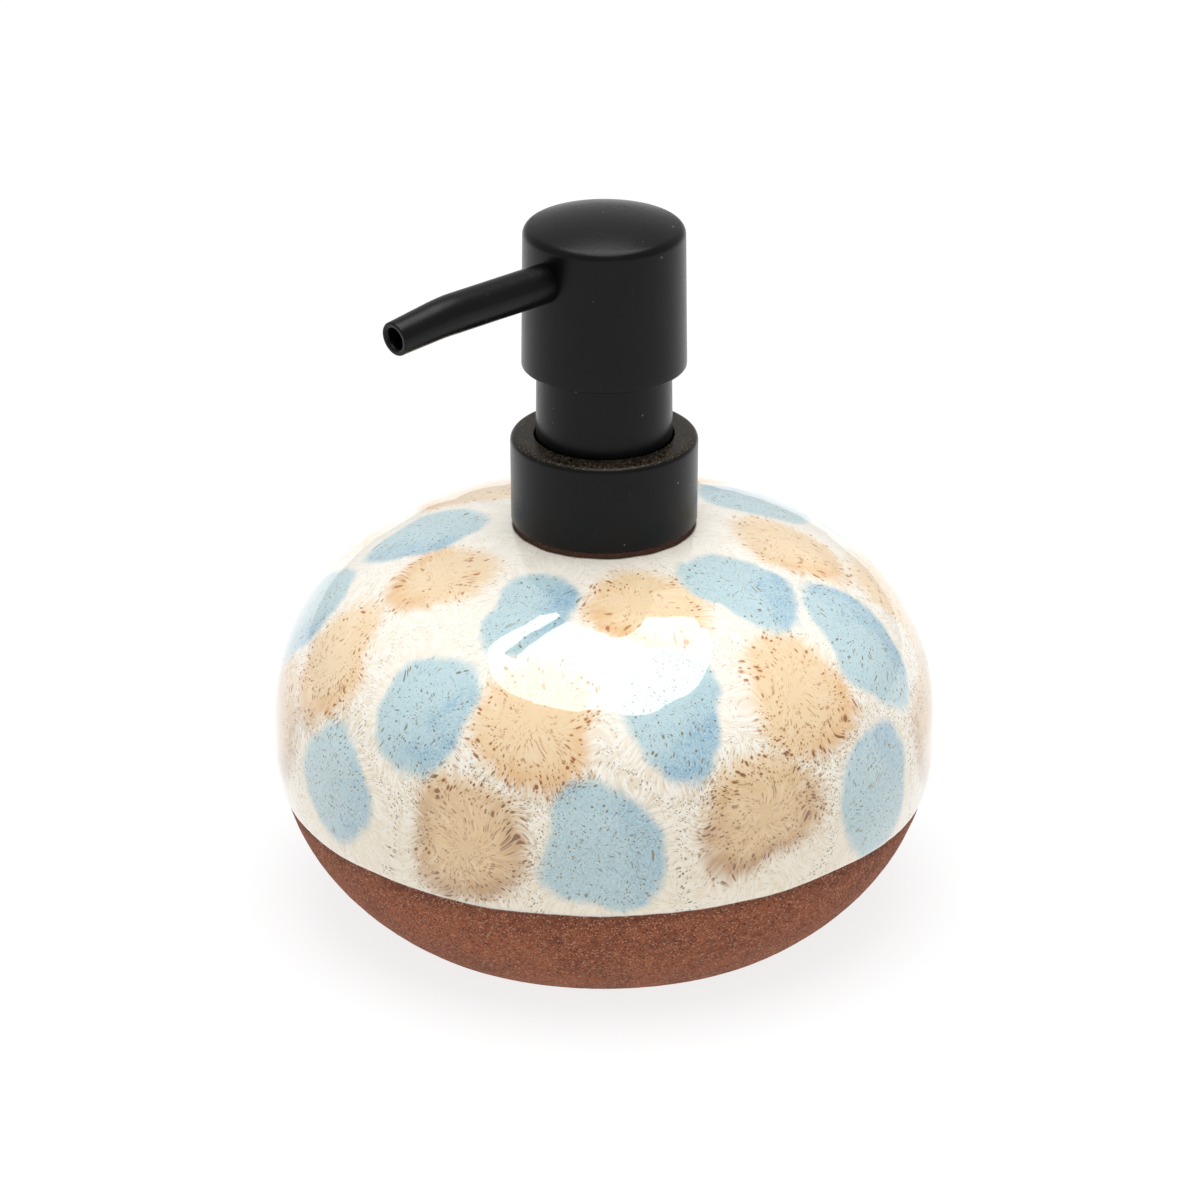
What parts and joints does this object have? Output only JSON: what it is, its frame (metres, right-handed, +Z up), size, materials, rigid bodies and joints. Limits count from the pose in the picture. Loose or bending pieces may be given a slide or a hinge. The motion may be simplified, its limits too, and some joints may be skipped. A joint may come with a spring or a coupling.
{
  "type": "soap pump dispenser",
  "caption": "Round squat glazed stoneware soap bottle with a screw-on black press pump whose head swivels and has a short straight spout.",
  "frame": {"origin": "centre of the foot, on the surface that the bottle stands on", "axes": "+Z up along the pump's axis, the spout points along -Y, +X to the right seen from the spout's side"},
  "size_m": [0.12, 0.12, 0.1309],
  "materials": {
    "terracotta": "unglazed sandy stoneware, matt",
    "glaze": "glossy cream reactive glaze with blue and tan spots",
    "black_plastic": "matt black moulded plastic",
    "black_inner": "black moulded plastic, hidden",
    "natural_plastic": "natural milky polypropylene",
    "tube_plastic": "translucent polyethylene tube",
    "piston_plastic": "soft polyethylene",
    "adhesive": "clear amber epoxy bead",
    "seal_foam": "white foamed gasket",
    "seal_rubber": "black nitrile rubber",
    "steel_ball": "polished stainless steel",
    "spring_steel": "drawn stainless spring wire"
  },
  "bodies": {
    "bottle": {"bottle": "terracotta", "glaze_coat": "glaze", "neck_insert": "natural_plastic", "insert_adhesive": "adhesive"},
    "pump": {"gasket": "seal_foam", "pump_housing": "natural_plastic", "guide_sleeve": "black_plastic", "stem_guide": "natural_plastic", "stem_wiper": "seal_rubber", "ball_cage": "natural_plastic", "dip_tube": "tube_plastic"},
    "collar": {"closure_ring": "black_inner", "collar_shell": "black_plastic"},
    "plunger": {"piston": "piston_plastic", "spring": "spring_steel"},
    "head": {"stem": "natural_plastic", "head_core": "black_inner", "head_shell": "black_plastic", "spout_seal": "seal_rubber", "spout": "black_plastic"},
    "inlet_valve": {"inlet_ball": "steel_ball"},
    "outlet_valve": {"outlet_ball": "steel_ball"}
  },
  "joints": [
    {"name": "pump_lift", "type": "slide", "parent": "bottle", "child": "pump", "axis": [0, 0, 1], "range_m": [0, 0.0063]},
    {"name": "collar_turn", "type": "hinge", "parent": "pump", "child": "collar", "pos_m": [0, 0, 0.08], "axis": [0, 0, 1], "range_deg": [0, 540]},
    {"name": "press", "type": "slide", "parent": "pump", "child": "plunger", "axis": [0, 0, -1], "range_m": [0, 0.012], "stiffness_N_per_m": 800, "springref_m": -0.001, "deforming": ["spring"]},
    {"name": "swivel", "type": "hinge", "parent": "plunger", "child": "head", "pos_m": [0, 0, 0.11], "axis": [0, 0, 1], "continuous": true},
    {"name": "inlet_ball_lift", "type": "slide", "parent": "pump", "child": "inlet_valve", "axis": [0, 0, 1], "range_m": [0, 0.0012]},
    {"name": "outlet_ball_lift", "type": "slide", "parent": "head", "child": "outlet_valve", "axis": [0, 0, 1], "range_m": [0, 0.0012]}
  ],
  "couplings": [
    {"joint": "collar_turn", "follows": "pump_lift", "rad_per_m": 1496}
  ]
}
